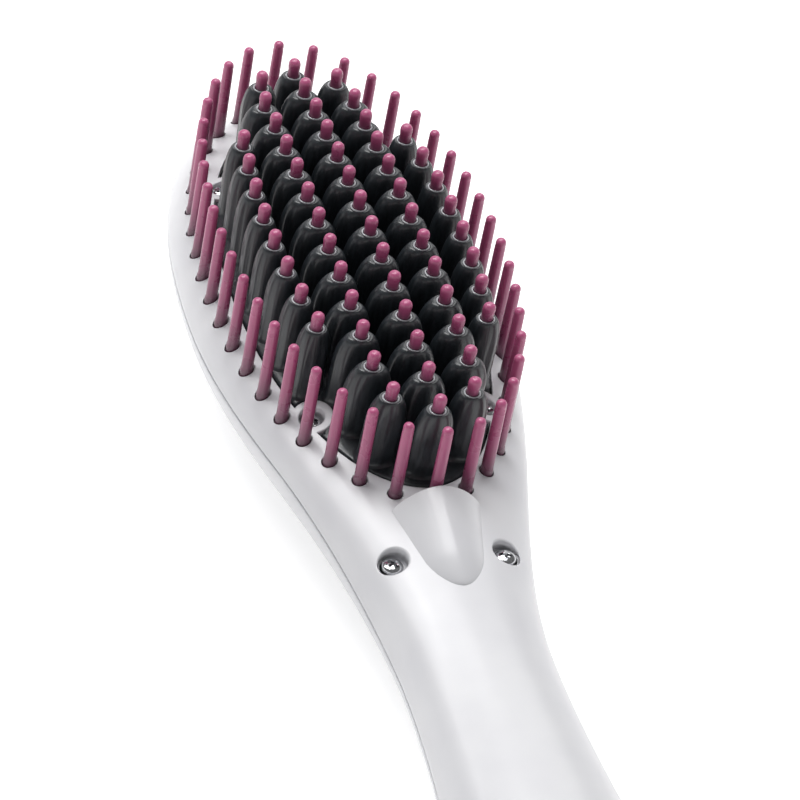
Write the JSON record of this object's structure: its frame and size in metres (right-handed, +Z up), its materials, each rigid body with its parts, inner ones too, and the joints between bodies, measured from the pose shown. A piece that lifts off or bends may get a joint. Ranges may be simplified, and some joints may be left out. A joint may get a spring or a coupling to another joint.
{
  "type": "hair straightening brush",
  "caption": "Paddle-shaped electric hair straightening brush with heated fins, cool tips, a ring of bristle pins, an ion outlet and buttons in its grip.",
  "frame": {"origin": "on the table under the middle of the brush, which lies on its back with the bristles up", "axes": "+Y runs along the brush to the tip of the head, +Z points up out of the bristles, +X across the head"},
  "size_m": [0.0602, 0.2878, 0.0465],
  "materials": {
    "pearl_plastic": "glossy pearly pale grey-white moulding",
    "coated_fins": "die-cast aluminium under a glossy charcoal ceramic coating",
    "rose_plastic": "satin mauve heat-proof plastic",
    "screw_steel": "nickel-plated cross-head screws",
    "clamp_steel": "spring steel sheet",
    "heater_aluminium": "flat heater cases",
    "mica": "mica sheet",
    "brass": "plain brass",
    "black_plastic": "black moulded plastic",
    "circuit_board": "green circuit board",
    "smoked_lens": "polished smoked lens",
    "red_insulation": "silicone insulation",
    "blue_insulation": "silicone insulation",
    "white_insulation": "silicone insulation"
  },
  "bodies": {
    "housing": {"front_cover": "pearl_plastic", "rear_cover": "pearl_plastic", "heater_plate": "coated_fins", "tip_strip_centre": "rose_plastic", "tip_strip_left": "rose_plastic", "tip_strip_outer_left": "rose_plastic", "tip_strip_right": "rose_plastic", "tip_strip_outer_right": "rose_plastic", "bristle_ring": "rose_plastic", "cover_screw_1": "screw_steel", "cover_screw_2": "screw_steel", "cover_screw_3": "screw_steel", "cover_screw_4": "screw_steel", "cover_screw_5": "screw_steel", "cover_screw_6": "screw_steel", "clamp_screw_1": "screw_steel", "clamp_screw_2": "screw_steel", "clamp_screw_3": "screw_steel", "clamp_screw_4": "screw_steel", "board_screw_1": "screw_steel", "board_screw_2": "screw_steel", "heater_clamp": "clamp_steel", "ptc_heater_far": "heater_aluminium", "ptc_heater_near": "heater_aluminium", "heater_insulator": "mica", "thermal_fuse": "brass", "ion_needle": "brass", "temperature_sensor": "black_plastic", "ion_module": "black_plastic", "display_module": "black_plastic", "plus_switch": "black_plastic", "minus_switch": "black_plastic", "power_switch": "black_plastic", "control_board": "circuit_board", "display_window": "smoked_lens", "heater_lead_live": "red_insulation", "heater_lead_neutral": "blue_insulation", "sensor_lead": "white_insulation", "ion_lead": "white_insulation"},
    "plus_button": {"plus_button": "rose_plastic"},
    "minus_button": {"minus_button": "rose_plastic"},
    "power_button": {"power_button": "rose_plastic"},
    "cord_gland": {"cord_gland": "black_plastic"}
  },
  "joints": [
    {"name": "plus_press", "type": "slide", "parent": "housing", "child": "plus_button", "axis": [0, 0, -1], "range_m": [0, 0.0008], "stiffness_N_per_m": 1200, "springref_m": -0.0004},
    {"name": "minus_press", "type": "slide", "parent": "housing", "child": "minus_button", "axis": [0, 0, -1], "range_m": [0, 0.0008], "stiffness_N_per_m": 1200, "springref_m": -0.0004},
    {"name": "power_press", "type": "slide", "parent": "housing", "child": "power_button", "axis": [0, 0, -1], "range_m": [0, 0.0008], "stiffness_N_per_m": 1200, "springref_m": -0.0004},
    {"name": "cord_swivel", "type": "hinge", "parent": "housing", "child": "cord_gland", "pos_m": [0, -0.1368, 0.0116], "axis": [0, 1, 0], "continuous": true}
  ]
}
